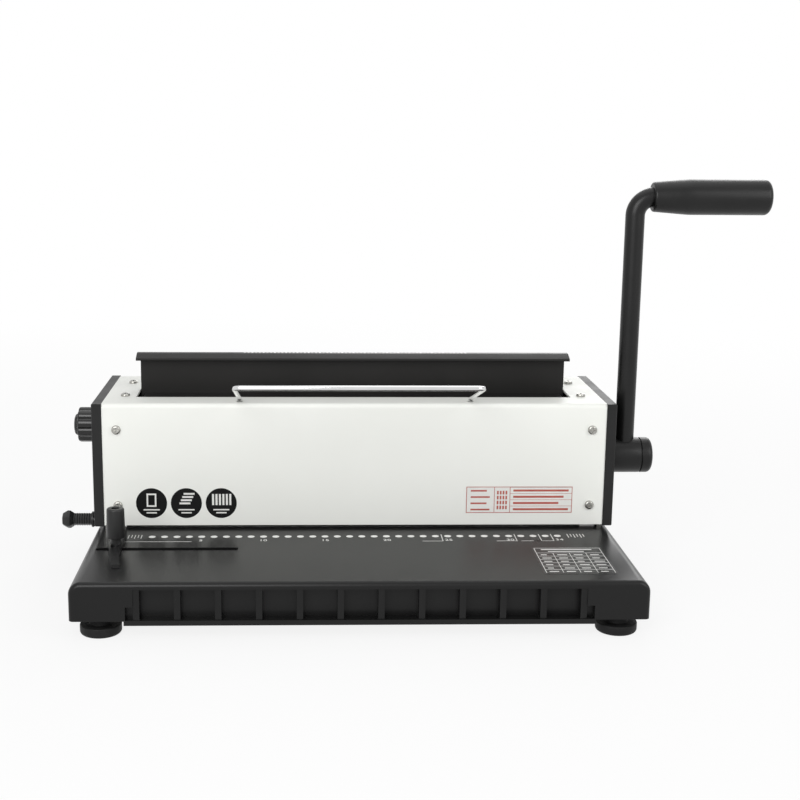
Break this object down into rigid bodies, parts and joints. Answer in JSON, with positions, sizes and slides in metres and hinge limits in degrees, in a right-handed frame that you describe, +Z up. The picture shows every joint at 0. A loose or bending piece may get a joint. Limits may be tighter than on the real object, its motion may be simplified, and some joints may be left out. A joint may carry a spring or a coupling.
{
  "type": "wire binding machine",
  "caption": "Desk-top punch-and-close binding machine with side lever, paper table, edge guide, closing jaw, setting knobs and wire rack.",
  "frame": {"origin": "middle of the machine's bounding box, on the surface that the feet stand on", "axes": "+X along the length, towards the lever's end; +Y from the operator to the rear; +Z up"},
  "size_m": [0.4952, 0.2272, 0.2799],
  "materials": {
    "white_paint": "fine satin powder coat",
    "cap_black": "moulded, lightly grained",
    "base_black": "moulded, semi-gloss",
    "jaw_black": "satin black",
    "lever_black": "satin black",
    "grip_black": "matte",
    "knob_black": "moulded, gloss",
    "tray_black": "moulded",
    "rubber": "matte",
    "zinc": "bright zinc",
    "steel": "ground steel",
    "chrome": "bright chrome",
    "bronze": "sintered bronze",
    "socket_grey": "moulded"
  },
  "bodies": {
    "machine": {"base_shell": "base_black", "bottom_plate": "steel", "bottom_screws": "zinc", "foot_front_left": "rubber", "foot_front_right": "rubber", "foot_rear_left": "rubber", "foot_rear_right": "rubber", "foot_screws": "zinc", "frame_left": "zinc", "frame_right": "zinc", "frame_screws": "zinc", "tie_rods": "steel", "shaft_bush_left": "bronze", "shaft_bush_right": "bronze", "spindle_bushes": "bronze", "anvil_bracket_left": "zinc", "anvil_bracket_right": "zinc", "front_cover": "white_paint", "rear_cover": "white_paint", "end_cap_left": "cap_black", "end_cap_right": "cap_black", "front_screws": "zinc", "rear_screws": "zinc", "top_screws": "zinc", "rack_socket_left": "socket_grey", "rack_socket_right": "socket_grey", "die_plate": "steel", "die_spacers": "steel", "stripper_plate": "steel", "die_bolts": "zinc", "guide_post_left": "steel", "guide_post_right": "steel", "return_spring_left": "steel", "return_spring_right": "steel"},
    "lever": {"main_shaft": "steel", "press_cam_left": "steel", "press_cam_right": "steel", "cam_pins": "steel", "lever_hub": "lever_black", "hub_grub_screw": "zinc", "hub_cap": "lever_black", "lever_rod": "lever_black", "lever_grip": "grip_black"},
    "press": {"punch_pins": "steel", "punch_holder": "steel", "holder_screws": "zinc", "press_beam": "steel", "closing_jaw": "jaw_black", "jaw_bolts": "zinc"},
    "anvil": {"anvil_bar": "jaw_black"},
    "gap_setting": {"gap_spindle": "steel", "gap_cams": "steel", "gap_knob": "knob_black"},
    "margin_setting": {"margin_rod": "steel", "margin_knob": "knob_black"},
    "guide": {"edge_guide": "lever_black", "guide_nut": "zinc"},
    "guide_clamp": {"clamp_knob": "knob_black"},
    "tray": {"chip_tray": "tray_black"},
    "rack": {"wire_rack": "chrome"}
  },
  "joints": [
    {"name": "lever_swing", "type": "hinge", "parent": "machine", "child": "lever", "pos_m": [0.15405, 0.0312, 0.083], "axis": [1, 0, 0], "range_deg": [0, 100], "stiffness_Nm_per_rad": 1.5, "springref_deg": -28.65},
    {"name": "press_slide", "type": "slide", "parent": "machine", "child": "press", "axis": [0, 0, 1], "range_m": [-0.01201, 0], "deforming": ["return_spring_left", "return_spring_right"]},
    {"name": "gap_turn", "type": "hinge", "parent": "machine", "child": "gap_setting", "pos_m": [-0.22895, 0.0372, 0.1039], "axis": [1, 0, 0], "range_deg": [0, 270.5]},
    {"name": "anvil_slide", "type": "slide", "parent": "machine", "child": "anvil", "axis": [0, 0, 1], "range_m": [0, 0.006]},
    {"name": "margin_turn", "type": "hinge", "parent": "machine", "child": "margin_setting", "pos_m": [-0.24095, 0.0182, 0.0391], "axis": [1, 0, 0], "range_deg": [0, 180]},
    {"name": "guide_slide", "type": "slide", "parent": "machine", "child": "guide", "axis": [1, 0, 0], "range_m": [-0.008, 0.075]},
    {"name": "clamp_turn", "type": "hinge", "parent": "guide", "child": "guide_clamp", "pos_m": [-0.20145, -0.0458, 0.0555], "axis": [0, 0, 1], "range_deg": [-180, 180]},
    {"name": "tray_slide", "type": "slide", "parent": "machine", "child": "tray", "axis": [0, 1, 0], "range_m": [0, 0.09]},
    {"name": "rack_lift", "type": "slide", "parent": "machine", "child": "rack", "axis": [0, 0, 1], "range_m": [0, 0.012]}
  ],
  "couplings": [
    {"joint": "press_slide", "follows": "lever_swing", "m_per_rad": -0.0068755},
    {"joint": "gap_turn", "follows": "anvil_slide", "rad_per_m": 785.4}
  ]
}
